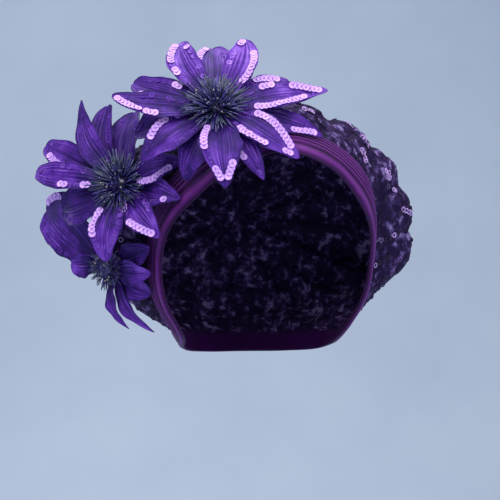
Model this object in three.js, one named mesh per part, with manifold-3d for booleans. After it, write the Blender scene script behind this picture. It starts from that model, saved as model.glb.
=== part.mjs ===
// Ready-tied head tie: a pleated satin band round the face, a gathered lace crown
// behind it, and three organza flowers on the wearer's right side.
// Millimetres, +Z up, the face looks along -Y, origin at the middle of the head hollow.
import * as THREE from "three";
import { mergeVertices } from "three/addons/utils/BufferGeometryUtils.js";
import Module from "manifold-3d";

const wasm = await Module();
wasm.setup();

// Cloth walls and the gap kept where two pieces meet
const BAND_WALL = 2.0;
const CROWN_WALL = 1.8;
const PETAL_WALL = 1.2;
const SEAM_GAP = 0.3;

// Half of the face opening, from the middle of the forehead down one side to the nape.
// face: front edge of the band, seam: rear edge of the band, girth: fullest line of the crown.
const STATIONS = [
  { name: "forehead", face: [0, -84, 47], seam: [0, -66, 63], girth: [0, -30, 87] },
  { name: "brow", face: [33, -78, 37], seam: [35, -58, 56], girth: [46, -20, 80] },
  { name: "temple_top", face: [58, -60, 16], seam: [66, -40, 36], girth: [88, -2, 58] },
  { name: "temple", face: [74, -36, -6], seam: [82, -14, 4], girth: [117, 14, 22] },
  { name: "ear", face: [78, -20, -32], seam: [84, 2, -28], girth: [127, 28, -8] },
  { name: "lobe", face: [74, -13, -58], seam: [80, 8, -56], girth: [115, 42, -41] },
  { name: "jaw", face: [60, -4, -84], seam: [66, 14, -80], girth: [92, 60, -60] },
  { name: "neck", face: [54, 36, -97], seam: [60, 48, -84], girth: [64, 92, -68] },
  { name: "nape_side", face: [32, 74, -102], seam: [35, 86, -89], girth: [34, 114, -71] },
  { name: "nape", face: [0, 88, -103], seam: [0, 100, -90], girth: [0, 121, -71] },
];

// Pleats across the band, from the face edge to the seam; where the band is narrower than
// its full width the pleats are lower too
const BAND_FULL_WIDTH = 27;
const PLEATS = [
  { share: 0.36, rise: 2.4 },
  { share: 0.22, rise: 3.0 },
  { share: 0.21, rise: 2.8 },
  { share: 0.21, rise: 2.2 },
];
const PLEAT_POINTS = [
  { along: 0.0, height: 0.0 },
  { along: 0.3, height: 0.85 },
  { along: 0.65, height: 1.0 },
];

// Crown: gathered lobes run from the seam to a pole at the back of the head
const CROWN_POLE = new THREE.Vector3(0, 128, 6);
const CROWN_CENTRE = new THREE.Vector3(0, 25, 0);
const CROWN_BACK_SPREAD = 0.74;
const CROWN_BACK_DROP = 0.24;
const LOBES = 16;
const LOBE_STEPS = 5;
const LOBE_DEPTH = 7;
const LOBE_VARIETY = 0.3;
const LOBE_DRIFT = 0.006;
const LOOP_STEPS = LOBES * LOBE_STEPS;
const CROWN_ROWS = 9;
const POLE_MARGIN = 0.96;

// Flower parts
const BUTTON_RADIUS = 11;
const BUTTON_HALF = 4;
const STALK_RADIUS = 6;
const STALK_SIDES = 10;
const STALK_BITE = 0.8;
const LEVEL_STEP = 2.4;
const PETAL_BASE_SHARE = 0.34;
const PETAL_BELLY = { pointed: 0.4, perTip: 0.5 };
const PETAL_FALL = { pointed: 1.2, perTip: 1.5 };
const PETAL_ROW_EASE = 1.5;
const PETAL_CUP = 0.12;
const PETAL_PLEAT = 0.5;
const PETAL_ROWS = 7;
const PETAL_COLUMNS = 4;
const STAMEN_BASE_RADIUS = 1.5;
const STAMEN_SINK = 2.0;
const STAMEN_SIDES = 5;
const STAMEN_HEAD = [
  { radius: 0, height: 0 },
  { radius: 7.5, height: 0 },
  { radius: 6, height: 3 },
  { radius: 0, height: 4.5 },
];

// Each petal is set by its angle round the flower (from the viewer's right, upwards), its lift
// off the flower's plane, its length, width, blunt share of width at the tip, bow off the plane,
// sideways sway of the midrib, and by its level on the button (0 rearmost).
const FLOWERS = [
  {
    name: "top",
    hub: [-44, -62, 78],
    turn: -14,
    tilt: 34,
    rings: [
      { count: 1, rise: 90, reach: 17 },
      { count: 7, rise: 64, reach: 20 },
      { count: 11, rise: 30, reach: 25 },
    ],
    petals: [
      { angle: 116, lift: -2, length: 72, width: 23, tip: 0.4, bow: 6, sway: 6, level: 2 },
      { angle: 97, lift: -13, length: 77, width: 27, tip: 0.4, bow: 5, sway: 0, level: 0 },
      { angle: 75, lift: 0, length: 67, width: 23, tip: 0.3, bow: 6, sway: -6, level: 1 },
      { angle: 11, lift: 0, length: 79, width: 24, tip: 0.12, bow: 4, sway: 0, level: 2 },
      { angle: -7, lift: -14, length: 78, width: 22, tip: 0.12, bow: 5, sway: 0, level: 0 },
      { angle: -35, lift: -4, length: 71, width: 24, tip: 0.15, bow: 7, sway: 0, level: 2 },
      { angle: -57, lift: -12, length: 64, width: 20, tip: 0.1, bow: 6, sway: 0, level: 0 },
      { angle: -82, lift: -4, length: 66, width: 29, tip: 0.15, bow: 8, sway: 0, level: 2 },
      { angle: -114, lift: -20, length: 56, width: 22, tip: 0.2, bow: 6, sway: 0, level: 0 },
      { angle: -143, lift: -9, length: 64, width: 25, tip: 0.2, bow: 7, sway: 0, level: 1 },
      { angle: 177, lift: 7, length: 74, width: 24, tip: 0.25, bow: 4, sway: 6, level: 2 },
      { angle: 154, lift: -7, length: 70, width: 24, tip: 0.4, bow: 5, sway: 3, level: 1 },
      { angle: 34, lift: -10, length: 60, width: 18, tip: 0.3, bow: 4, sway: 3, level: 0 },
      { angle: -175, lift: -17, length: 63, width: 30, tip: 0.2, bow: 6, sway: 0, level: 0 },
    ],
  },
  {
    name: "side",
    hub: [-108, -20, 26],
    turn: -38,
    tilt: 14,
    rings: [
      { count: 1, rise: 90, reach: 16 },
      { count: 6, rise: 64, reach: 18 },
      { count: 10, rise: 30, reach: 23 },
    ],
    petals: [
      { angle: 122, lift: 5, length: 76, width: 21, tip: 0.05, bow: 5, sway: 7, level: 2 },
      { angle: 111, lift: -4, length: 67, width: 21, tip: 0.5, bow: 5, sway: 8, level: 1 },
      { angle: 99, lift: -15, length: 64, width: 26, tip: 0.3, bow: 5, sway: 3, level: 0 },
      { angle: 156, lift: -5, length: 87, width: 22, tip: 0.4, bow: 5, sway: 0, level: 1 },
      { angle: 172, lift: 4, length: 75, width: 23, tip: 0.4, bow: 6, sway: 0, level: 2 },
      { angle: -166, lift: -11, length: 66, width: 34, tip: 0.35, bow: 5, sway: 4, level: 0 },
      { angle: -92, lift: 2, length: 58, width: 25, tip: 0.2, bow: 7, sway: 0, level: 2 },
      { angle: -46, lift: 0, length: 55, width: 24, tip: 0.15, bow: 7, sway: 0, level: 1 },
      { angle: -12, lift: 0, length: 53, width: 22, tip: 0.12, bow: 5, sway: 0, level: 0 },
      { angle: 17, lift: 4, length: 54, width: 23, tip: 0.15, bow: 6, sway: 0, level: 2 },
    ],
  },
  {
    name: "low",
    hub: [-115, 11, -34],
    turn: -44,
    tilt: -14,
    rings: [
      { count: 1, rise: 90, reach: 13 },
      { count: 6, rise: 64, reach: 15 },
    ],
    petals: [
      { angle: 149, lift: -12, length: 80, width: 46, tip: 0.4, bow: 8, sway: -7, level: 1 },
      { angle: 165, lift: 30, length: 29, width: 20, tip: 0.3, bow: 2, sway: 0, level: 2 },
      { angle: -73, lift: 5, length: 48, width: 12, tip: 0.04, bow: 6, sway: -4, level: 2 },
      { angle: -57, lift: -3, length: 59, width: 15, tip: 0.05, bow: 6, sway: -5, level: 1 },
      { angle: -6, lift: 1, length: 40, width: 20, tip: 0.15, bow: 5, sway: 0, level: 2 },
      { angle: 20, lift: -4, length: 42, width: 21, tip: 0.2, bow: 4, sway: 0, level: 0 },
      { angle: -36, lift: -10, length: 38, width: 22, tip: 0.25, bow: 4, sway: 0, level: 0 },
    ],
  },
];

const LOOKS = {
  band: { color: 0x75288a, roughness: 0.45, metalness: 0.0 },
  crown: { color: 0x35203f, roughness: 0.5, metalness: 0.0 },
  petal: { color: 0x59299a, roughness: 0.5, metalness: 0.0 },
  base: { color: 0x47217c, roughness: 0.8, metalness: 0.0 },
  stamens: { color: 0x1a2426, roughness: 0.3, metalness: 0.0 },
};

function piece(name, geometry, look) {
  const mesh = new THREE.Mesh(geometry, new THREE.MeshStandardMaterial(LOOKS[look]));
  mesh.name = name;
  return mesh;
}

// A closed body from points and triangles, turned so that its faces point out
function closedBody(points, triangles) {
  let volume = 0;
  const normal = new THREE.Vector3();
  for (const [a, b, c] of triangles) {
    volume += points[a].dot(normal.crossVectors(points[b], points[c]));
  }
  const outward = volume > 0 ? triangles : triangles.map(([a, b, c]) => [a, c, b]);
  const geometry = new THREE.BufferGeometry().setFromPoints(points);
  geometry.setIndex(outward.flat());
  geometry.computeVertexNormals();
  return geometry;
}

// Joins the rows of a point grid with quads; id(row, column) gives a point's number
function gridTriangles(rows, columns, id) {
  const triangles = [];
  for (let row = 0; row < rows; row += 1) {
    for (let column = 0; column < columns; column += 1) {
      const [a, b] = [id(row, column), id(row + 1, column)];
      const [c, d] = [id(row + 1, column + 1), id(row, column + 1)];
      triangles.push([a, b, c], [a, c, d]);
    }
  }
  return triangles;
}

// The whole loop of one station column: one side, then its mirror image
function stationLoop(column) {
  const points = STATIONS.map((station) => new THREE.Vector3(...station[column]));
  const mirrored = points.slice(1, -1).reverse().map((p) => new THREE.Vector3(-p.x, p.y, p.z));
  return new THREE.CatmullRomCurve3([...points, ...mirrored], true, "centripetal");
}

const faceLoop = stationLoop("face");
const seamLoop = stationLoop("seam");
const girthLoop = stationLoop("girth");

// Place on the loops of one step; the drift makes some lobes of the crown wider than others
function loopPlace(step) {
  const turn = step / LOOP_STEPS;
  const drift = LOBE_DRIFT * Math.sin(2 * Math.PI * 3 * turn);
  return girthLoop.getUtoTmapping((turn + drift + 1) % 1);
}

// Directions of the band at one place of the loop: across it to the seam, and out from the head
function bandFrame(place) {
  const face = faceLoop.getPoint(place);
  const seam = seamLoop.getPoint(place);
  const across = seam.clone().sub(face);
  const width = across.length();
  across.normalize();
  const out = new THREE.Vector3().crossVectors(across, seamLoop.getTangent(place)).normalize();
  if (out.dot(face.clone().sub(CROWN_CENTRE)) < 0) out.negate();
  return { face, seam, across, out, width };
}

// Section of the pleated band: pleat ridges outside, a plain face inside
function bandSection({ face, across, out, width }) {
  const at = (along, height) => face.clone().addScaledVector(across, along).addScaledVector(out, height);
  const fullness = Math.min(1, width / BAND_FULL_WIDTH);
  const section = [];
  let start = 0;
  for (const { share, rise } of PLEATS) {
    for (const point of PLEAT_POINTS) {
      const height = BAND_WALL + point.height * rise * fullness;
      section.push(at((start + point.along * share) * width, height));
    }
    start += share;
  }
  section.push(at(width, BAND_WALL), at(width, 0), at(width / 2, 0), at(0, 0));
  return section;
}

function bandGeometry() {
  const sections = [];
  for (let step = 0; step < LOOP_STEPS; step += 1) sections.push(bandSection(bandFrame(loopPlace(step))));
  const size = sections[0].length;
  const id = (row, column) => (row % LOOP_STEPS) * size + (column % size);
  return closedBody(sections.flat(), gridTriangles(LOOP_STEPS, size, id));
}

// Height of the gathered lobes round the crown, between -1 in a valley and +1 on a ridge
function lobeHeight(step) {
  const variety = 1 + LOBE_VARIETY * Math.sin(LOBES * Math.floor(step / LOBE_STEPS));
  return 2 * variety * Math.sin((Math.PI * (step % LOBE_STEPS)) / LOBE_STEPS) - 1;
}

// Edge of the crown beside the seam, at a height above the band's inner face
function crownEdge(place, height) {
  const { seam, across, out } = bandFrame(place);
  return seam.clone().addScaledVector(across, SEAM_GAP).addScaledVector(out, height);
}

// One gather line of the crown, over the girth and the back to the pole
function crownMeridian(place) {
  const start = crownEdge(place, CROWN_WALL);
  const girth = girthLoop.getPoint(place);
  const back = CROWN_POLE.clone().lerp(girth, CROWN_BACK_SPREAD);
  back.y = CROWN_POLE.y + (girth.y - CROWN_POLE.y) * CROWN_BACK_DROP;
  return new THREE.CatmullRomCurve3([start, girth, back, CROWN_POLE], false, "centripetal");
}

// Outer skin of the crown as rings of points, each ring one step further from the seam
function crownOuterRings() {
  const rings = [];
  for (let row = 0; row < CROWN_ROWS; row += 1) {
    const share = (POLE_MARGIN * row) / (CROWN_ROWS - 1);
    const depth = (LOBE_DEPTH / 2) * Math.sin(Math.PI * share);
    const ring = [];
    for (let step = 0; step < LOOP_STEPS; step += 1) {
      const point = crownMeridian(loopPlace(step)).getPoint(share);
      const out = point.clone().sub(CROWN_CENTRE).normalize();
      ring.push(point.addScaledVector(out, depth * lobeHeight(step)));
    }
    rings.push(ring);
  }
  return rings;
}

// The same rings moved inward by the wall, square to the skin
function crownInnerRings(outer) {
  return outer.map((ring, row) => ring.map((point, step) => {
    if (row === 0) return crownEdge(loopPlace(step), 0);
    const before = ring[(step + ring.length - 1) % ring.length];
    const after = ring[(step + 1) % ring.length];
    const nearer = outer[row - 1][step];
    const farther = outer[Math.min(row + 1, outer.length - 1)][step];
    const round = after.clone().sub(before);
    const out = new THREE.Vector3().crossVectors(round, farther.clone().sub(nearer)).normalize();
    if (out.dot(point.clone().sub(CROWN_CENTRE)) < 0) out.negate();
    return point.clone().addScaledVector(out, -CROWN_WALL);
  }));
}

function crownGeometry() {
  const outer = crownOuterRings();
  const inner = crownInnerRings(outer);
  const rings = [...[...outer].reverse(), ...inner];
  const id = (row, column) => row * LOOP_STEPS + (column % LOOP_STEPS);
  const triangles = gridTriangles(rings.length - 1, LOOP_STEPS, id);
  const outerPole = rings.length * LOOP_STEPS;
  const innerPole = outerPole + 1;
  for (let step = 0; step < LOOP_STEPS; step += 1) {
    triangles.push([outerPole, id(0, step), id(0, step + 1)]);
    triangles.push([innerPole, id(rings.length - 1, step + 1), id(rings.length - 1, step)]);
  }
  const innerTop = CROWN_POLE.clone();
  innerTop.y -= CROWN_WALL;
  return closedBody([...rings.flat(), CROWN_POLE, innerTop], triangles);
}

// Share of a petal's full width at a share of its length; tip is the share left at its end,
// and pointed petals are fullest nearer to the root
function petalWidth(along, tip) {
  const belly = PETAL_BELLY.pointed + PETAL_BELLY.perTip * tip;
  if (along < belly) {
    return PETAL_BASE_SHARE + (1 - PETAL_BASE_SHARE) * Math.sin((Math.PI / 2) * (along / belly));
  }
  const fall = (along - belly) / (1 - belly);
  return tip + (1 - tip) * (1 - fall ** (PETAL_FALL.pointed + PETAL_FALL.perTip * tip));
}

// One cupped petal in its flower's frame: a slab on a bowed midrib, with a pleat on each half
function petalGeometry({ angle, lift, length, width, tip: tipShare, bow, sway, level }) {
  const turn = THREE.MathUtils.degToRad(angle);
  const rise = THREE.MathUtils.degToRad(lift);
  const radial = new THREE.Vector3(Math.cos(turn), Math.sin(turn), 0);
  const side = new THREE.Vector3(-Math.sin(turn), Math.cos(turn), 0);
  const axis = new THREE.Vector3(0, 0, 1);
  const at = (reach, height) => radial.clone().multiplyScalar(reach).addScaledVector(axis, height);
  const root = at(BUTTON_RADIUS + SEAM_GAP, (level - 1) * LEVEL_STEP);
  const tip = at(length * Math.cos(rise), length * Math.sin(rise));
  const belly = root.clone().lerp(tip, 0.5).add(at(-2 * bow * Math.sin(rise), 2 * bow * Math.cos(rise)));
  const midrib = new THREE.QuadraticBezierCurve3(root, belly, tip);
  const [front, back] = [[], []];
  for (let row = 0; row <= PETAL_ROWS; row += 1) {
    const along = 1 - (1 - row / PETAL_ROWS) ** PETAL_ROW_EASE;
    const spine = midrib.getPoint(along).addScaledVector(side, 4 * sway * along * (1 - along));
    const normal = new THREE.Vector3().crossVectors(midrib.getTangent(along), side).normalize();
    const breadth = width * petalWidth(along, tipShare);
    for (let column = 0; column <= PETAL_COLUMNS; column += 1) {
      const share = (2 * column) / PETAL_COLUMNS - 1;
      const pleat = column % 2 === 1 ? -PETAL_PLEAT * Math.sin(Math.PI * along) : 0;
      const lifted = PETAL_CUP * breadth * share ** 2 * along + pleat;
      const point = spine.clone().addScaledVector(side, (share * breadth) / 2);
      front.push(point.clone().addScaledVector(normal, lifted + PETAL_WALL / 2));
      back.push(point.clone().addScaledVector(normal, lifted - PETAL_WALL / 2));
    }
  }
  return slabGeometry(front, back, PETAL_ROWS, PETAL_COLUMNS);
}

// A slab between two matching point grids
function slabGeometry(front, back, rows, columns) {
  const across = columns + 1;
  const frontId = (row, column) => row * across + column;
  const backId = (row, column) => front.length + frontId(row, column);
  const triangles = gridTriangles(rows, columns, frontId);
  triangles.push(...gridTriangles(rows, columns, backId).map(([a, b, c]) => [a, c, b]));
  const border = [];
  for (let row = 0; row < rows; row += 1) border.push([row, 0]);
  for (let column = 0; column < columns; column += 1) border.push([rows, column]);
  for (let row = rows; row > 0; row -= 1) border.push([row, columns]);
  for (let column = columns; column > 0; column -= 1) border.push([0, column]);
  border.forEach(([row, column], place) => {
    const next = border[(place + 1) % border.length];
    const [a, b] = [frontId(row, column), frontId(...next)];
    const [c, d] = [backId(...next), backId(row, column)];
    triangles.push([a, c, b], [a, d, c]);
  });
  return closedBody([...front, ...back], triangles);
}

function solidOf(geometry) {
  const bare = geometry.clone();
  bare.deleteAttribute("normal");
  bare.deleteAttribute("uv");
  const merged = mergeVertices(bare);
  const vertProperties = new Float32Array(merged.attributes.position.array);
  const triVerts = new Uint32Array(merged.index.array);
  return new wasm.Manifold(new wasm.Mesh({ numProp: 3, vertProperties, triVerts }));
}

function geometryOf(solid) {
  const mesh = solid.getMesh();
  const geometry = new THREE.BufferGeometry();
  geometry.setAttribute("position", new THREE.BufferAttribute(mesh.vertProperties, 3));
  geometry.setIndex(new THREE.BufferAttribute(mesh.triVerts, 1));
  geometry.computeVertexNormals();
  return geometry;
}

// Button and stalk of a flower; the stalk's end is cut to the crown below it
function baseGeometry(crown, frame) {
  const inward = new THREE.Vector3(0, 0, -1).transformDirection(frame);
  const rows = [
    { radius: 0.0, height: BUTTON_HALF },
    { radius: BUTTON_RADIUS, height: BUTTON_HALF },
    { radius: BUTTON_RADIUS, height: -BUTTON_HALF },
    { radius: STALK_RADIUS, height: -BUTTON_HALF },
    { radius: STALK_RADIUS, height: null },
    { radius: 0.0, height: null },
  ];
  const points = [];
  for (const { radius, height } of rows) {
    for (let side = 0; side < (radius > 0 ? STALK_SIDES : 1); side += 1) {
      const turn = (2 * Math.PI * side) / STALK_SIDES;
      const point = new THREE.Vector3(radius * Math.cos(turn), radius * Math.sin(turn), 0);
      const ray = new THREE.Raycaster(point.clone().applyMatrix4(frame), inward);
      point.z = height ?? -ray.intersectObject(crown)[0].distance - STALK_BITE;
      points.push(point);
    }
  }
  const walls = rows.length - 3;
  const id = (row, side) => 1 + row * STALK_SIDES + (side % STALK_SIDES);
  const triangles = gridTriangles(walls, STALK_SIDES, id);
  for (let side = 0; side < STALK_SIDES; side += 1) {
    triangles.push([0, id(0, side), id(0, side + 1)]);
    triangles.push([points.length - 1, id(walls, side + 1), id(walls, side)]);
  }
  const seat = crown.geometry.clone().applyMatrix4(frame.clone().invert());
  seat.translate(0, 0, SEAM_GAP);
  return geometryOf(solidOf(closedBody(points, triangles)).subtract(solidOf(seat)));
}

// Stamens: rings of tapered spikes fused to a low domed head on the button
function stamenGeometry(rings) {
  const seat = BUTTON_HALF + SEAM_GAP;
  const outline = STAMEN_HEAD.map(({ radius, height }) => new THREE.Vector2(radius, height));
  const dome = new THREE.LatheGeometry(outline, STALK_SIDES);
  dome.rotateX(Math.PI / 2);
  dome.translate(0, 0, seat);
  const spikes = [];
  for (const { count, rise, reach } of rings) {
    for (let spike = 0; spike < count; spike += 1) {
      const cone = new THREE.ConeGeometry(STAMEN_BASE_RADIUS, reach, STAMEN_SIDES);
      cone.translate(0, reach / 2, 0);
      cone.rotateX(THREE.MathUtils.degToRad(rise));
      cone.rotateZ((2 * Math.PI * (spike + rise / 90)) / count);
      cone.translate(0, 0, seat + STAMEN_SINK);
      spikes.push(cone);
    }
  }
  return geometryOf([dome, ...spikes].map(solidOf).reduce((sum, body) => sum.add(body)));
}

function flowerGroup(flower, crown) {
  const group = new THREE.Group();
  const [turn, tilt] = [flower.turn, flower.tilt].map(THREE.MathUtils.degToRad);
  group.position.set(...flower.hub);
  group.rotation.set(Math.PI / 2 - tilt, 0, turn, "ZYX");
  group.updateMatrixWorld();
  group.add(piece(`${flower.name}_base`, baseGeometry(crown, group.matrixWorld), "base"));
  group.add(piece(`${flower.name}_stamens`, stamenGeometry(flower.rings), "stamens"));
  flower.petals.forEach((petal, index) => {
    group.add(piece(`${flower.name}_petal_${index + 1}`, petalGeometry(petal), "petal"));
  });
  return group;
}

const headTie = new THREE.Group();
const crown = piece("crown", crownGeometry(), "crown");
headTie.add(piece("band", bandGeometry(), "band"));
headTie.add(crown);
for (const flower of FLOWERS) headTie.add(flowerGroup(flower, crown));

export default headTie;
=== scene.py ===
"""Looks of a ready-tied head wrap: satin band, gathered lace crown and three sequinned flowers."""

import math

import bmesh
import bpy
import numpy as np
from mathutils import Matrix, Vector, noise
from mathutils.bvhtree import BVHTree


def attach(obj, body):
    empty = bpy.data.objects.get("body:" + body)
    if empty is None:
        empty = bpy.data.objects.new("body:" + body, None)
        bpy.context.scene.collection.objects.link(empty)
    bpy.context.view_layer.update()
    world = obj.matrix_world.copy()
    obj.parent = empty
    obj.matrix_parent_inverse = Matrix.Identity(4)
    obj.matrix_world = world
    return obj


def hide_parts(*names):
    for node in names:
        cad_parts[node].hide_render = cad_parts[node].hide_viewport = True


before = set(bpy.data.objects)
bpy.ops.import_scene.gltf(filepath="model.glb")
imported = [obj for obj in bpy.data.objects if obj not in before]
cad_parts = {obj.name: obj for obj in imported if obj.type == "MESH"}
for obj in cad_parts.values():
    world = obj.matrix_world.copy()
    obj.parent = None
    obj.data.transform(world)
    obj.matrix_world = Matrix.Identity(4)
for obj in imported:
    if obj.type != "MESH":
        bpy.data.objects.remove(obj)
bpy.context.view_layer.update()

bl_info = {
    "name": "Tied Head Wrap",
    "version": (1, 0, 0),
    "blender": (4, 5, 0),
    "location": "3D View > Sidebar > Head Wrap",
    "description": "Makes the cloth, sequins and stamens of a tied head wrap around its solids",
    "category": "Object",
}

MM = 0.001

# Loop stations down one side of the head: face edge, seam and widest girth, in millimetres
STATIONS = (
    ((0, -84, 47), (0, -66, 63), (0, -30, 87)),
    ((33, -78, 37), (35, -58, 56), (46, -20, 80)),
    ((58, -60, 16), (66, -40, 36), (88, -2, 58)),
    ((74, -36, -6), (82, -14, 4), (117, 14, 22)),
    ((78, -20, -32), (84, 2, -28), (127, 28, -8)),
    ((74, -13, -58), (80, 8, -56), (115, 42, -41)),
    ((60, -4, -84), (66, 14, -80), (92, 60, -60)),
    ((54, 36, -97), (60, 48, -84), (64, 92, -68)),
    ((32, 74, -102), (35, 86, -89), (34, 114, -71)),
    ((0, 88, -103), (0, 100, -90), (0, 121, -71)),
)
TURN_SWAY = 0.006
TURN_SWAY_COUNT = 6
BAND_WALL = 2.0
CROWN_WALL = 1.8
SEAM_GAP = 0.3
CROWN_POLE = np.array((0.0, 128.0, 6.0))
CROWN_CENTRE = np.array((0.0, 25.0, 0.0))
CROWN_BACK_SPREAD = 0.74
CROWN_BACK_DROP = 0.24

# Band pleats from the face edge to the seam: share of the width, rise in millimetres
PLEATS = ((0.34, 2.4), (0.15, 2.8), (0.14, 2.8), (0.13, 2.6), (0.12, 2.4), (0.12, 2.0))
BAND_FULL_WIDTH = 27.0
PLEAT_CREST = 0.65
PLEAT_FLOOR = 0.35
WIDE_PLEAT = 0.3

# Flowers: hub in millimetres, turn and tilt in degrees, reach of the stamens in millimetres
FLOWERS = {
    "top": ((-44, -62, 78), -14, 34, 25),
    "side": ((-108, -20, 26), -38, 14, 23),
    "low": ((-115, 11, -34), -44, -14, 15),
}
BUTTON_RADIUS = 11.0
BUTTON_HALF = 4.0
STALK_RADIUS = 6.0
LEVEL_STEP = 2.4

# Petals: angle and lift in degrees, length and width in millimetres, tip share, bow and sway in
# millimetres, level, painted light of the petal (painted shade below 0, painted highlight above),
# then the runs of sequins painted as lit, as margin (1 is anticlockwise of the petal), start and
# end along it, or None for a petal without sequins
PETALS = {
    "top": (
        (116, -2, 72, 24, 0.40, 6, 6, 2, 0.20,
         ((1, 0.60, 0.95), (1, 0.44, 0.52), (-1, 0.78, 0.84))),
        (97, -13, 77, 28, 0.40, 5, 0, 0, 0.06, ((1, 0.55, 0.97),)),
        (75, 0, 67, 24, 0.30, 6, -6, 1, 0.38, ((1, 0.84, 0.97), (-1, 0.24, 0.74))),
        (11, 0, 79, 25, 0.12, 4, 0, 2, 0.10, ((1, 0.34, 0.46), (1, 0.62, 0.94), (-1, 0.22, 0.76))),
        (-7, -14, 78, 23, 0.12, 5, 0, 0, -0.14, ((-1, 0.62, 0.94),)),
        (-35, -4, 71, 26, 0.15, 7, 0, 2, 0.02,
         ((1, 0.28, 0.86), (-1, 0.22, 0.64), (-1, 0.84, 0.94))),
        (-57, -12, 64, 21, 0.10, 6, 0, 0, -0.10, ((-1, 0.57, 0.64),)),
        (-82, -4, 66, 30, 0.15, 8, 0, 2, -0.16,
         ((-1, 0.14, 0.52), (-1, 0.78, 0.90), (1, 0.70, 0.90))),
        (-114, -20, 56, 23, 0.20, 6, 0, 0, -0.28, ()),
        (-144, -9, 64, 29, 0.20, 7, 0, 1, -0.06, ((-1, 0.18, 0.28), (-1, 0.42, 0.74))),
        (177, 7, 74, 22, 0.25, 4, 6, 2, -0.12, ((1, 0.68, 0.97), (1, 0.47, 0.60))),
        (154, -7, 70, 25, 0.40, 5, 3, 1, -0.14, ((1, 0.55, 0.80), (-1, 0.36, 0.48))),
        (34, -10, 60, 19, 0.30, 4, 3, 0, 0.06, ((1, 0.52, 0.86),)),
        (-172, -17, 63, 35, 0.20, 6, 0, 0, -0.26, ((1, 0.52, 0.62),)),
    ),
    "side": (
        (122, 5, 76, 21, 0.05, 5, 7, 2, -0.08, ()),
        (111, -4, 67, 21, 0.50, 5, 8, 1, -0.22, ()),
        (98, -15, 64, 30, 0.30, 5, 3, 0, -0.26, ()),
        (156, -5, 87, 23, 0.40, 5, 0, 1, -0.06, ((1, 0.58, 0.88),)),
        (173, 4, 75, 21, 0.40, 6, 0, 2, 0.02, ((1, 0.18, 0.28), (1, 0.47, 0.55))),
        (-166, -11, 61, 33, 0.35, 5, 4, 0, -0.22, ()),
        (-93, 2, 58, 29, 0.20, 7, 0, 2, 0.00, ((-1, 0.18, 0.62),)),
        (-46, 0, 55, 25, 0.15, 7, 0, 1, 0.02, ((-1, 0.12, 0.30), (-1, 0.46, 0.90))),
        (-12, 0, 53, 23, 0.12, 5, 0, 0, -0.10, ((-1, 0.70, 0.79),)),
        (17, 4, 54, 24, 0.15, 6, 0, 2, -0.04, ((-1, 0.15, 0.84),)),
    ),
    "low": (
        (149, -12, 80, 49, 0.40, 8, -9, 1, -0.13, ((-1, 0.70, 0.97),)),
        (165, 30, 29, 21, 0.30, 2, 0, 2, -0.10, None),
        (-73, 5, 48, 10, 0.04, 6, -4, 2, -0.10, None),
        (-57, -3, 59, 12, 0.05, 6, -5, 1, -0.06, None),
        (-6, 1, 40, 20, 0.15, 5, 0, 2, -0.04, None),
        (20, -4, 42, 21, 0.20, 4, 0, 0, -0.30, None),
        (-36, -10, 38, 23, 0.25, 4, 0, 0, -0.14, None),
    ),
}
PETAL_BASE_SHARE = 0.44
PETAL_BELLY = (0.4, 0.5)
PETAL_FALL = (1.2, 1.5)
PETAL_CUP = 0.12

# Grids of the sheets: cells along the first share and along the second
BAND_GRID = (320, 112)
CROWN_GRID = (384, 100)
PETAL_GRID = (44, 60)

# Sequins: hole radius, cup and thickness in metres, then the number of sides
CROWN_SEQUIN_SECTION = (0.0007, 0.0003, 0.00015, 8)
PETAL_SEQUIN_SECTION = (0.00032, 0.00045, 0.00016, 10)
SEQUIN_LIP = 0.84

# Petal sequins painted as lit and ones left in painted shade: ranges of roll and tilt in degrees
# and of tone
LIT_ROLL, LIT_TILT, LIT_TONE = (-6, 8), (13, 19), (0.84, 1.0)
SHADED_ROLL, SHADED_TILT, SHADED_TONE = (0, 16), (3, 9), (0.05, 0.22)
LIT_HEIGHT, SHADED_HEIGHT = 1.2, 0.15
SHADED_SIZE = 0.82
SHADED_SKIPPED = 0.6

# Stamens: spike radii as shares of the length, tones of the spikes and how often each is used
SPIKE_RADII = (0.052, 0.024)
SPIKE_TONES = (0.0, 0.12, 0.28, 0.36, 0.55, 0.68)
SPIKE_TONE_ODDS = (0.3, 0.2, 0.2, 0.12, 0.12, 0.06)
SPIRAL_STEP = math.radians(137.508)
BEAD_RADIUS = 0.0008
CUSHION_SIZE = (0.0078, 0.0078, 0.0040, 1.0)


def unit(vectors):
    """The same vectors, each one long."""
    return vectors / np.linalg.norm(vectors, axis=-1, keepdims=True)


def run_lengths(line):
    """Distance from the start of a line to each of its places."""
    return np.concatenate([[0.0], np.cumsum(np.linalg.norm(np.diff(line, axis=0), axis=1))])


def span_point(knots, gaps, share):
    """Point on the centripetal span between the second and third of four knots."""
    a, b, c, d = knots
    g0, g1, g2 = gaps
    leave = ((b - a) / g0 - (c - a) / (g0 + g1) + (c - b) / g1) * g1
    arrive = ((c - b) / g1 - (d - b) / (g1 + g2) + (d - c) / g2) * g1
    s = share[:, None]
    return (
        (2 * s**3 - 3 * s**2 + 1) * b
        + (s**3 - 2 * s**2 + s) * leave
        + (3 * s**2 - 2 * s**3) * c
        + (s**3 - s**2) * arrive
    )


def closed_curve(points):
    """A smooth closed curve through the points, as a function of a share of the way round."""
    ring = np.array(points, float)
    count = len(ring)
    knots = np.concatenate([ring[-1:], ring, ring[:2]])
    gaps = np.sqrt(np.linalg.norm(np.diff(knots, axis=0), axis=1))

    def at(share):
        place = (np.asarray(share, float) % 1.0) * count
        first = np.minimum(place.astype(int), count - 1)
        corners = [knots[first + step] for step in range(4)]
        lengths = [gaps[first + step][:, None] for step in range(3)]
        return span_point(corners, lengths, place - first)

    return at


def station_loop(column):
    """The closed loop through one column of the stations and its mirror image."""
    side = [row[column] for row in STATIONS]
    return closed_curve(side + [(-x, y, z) for x, y, z in side[-2:0:-1]])


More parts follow.
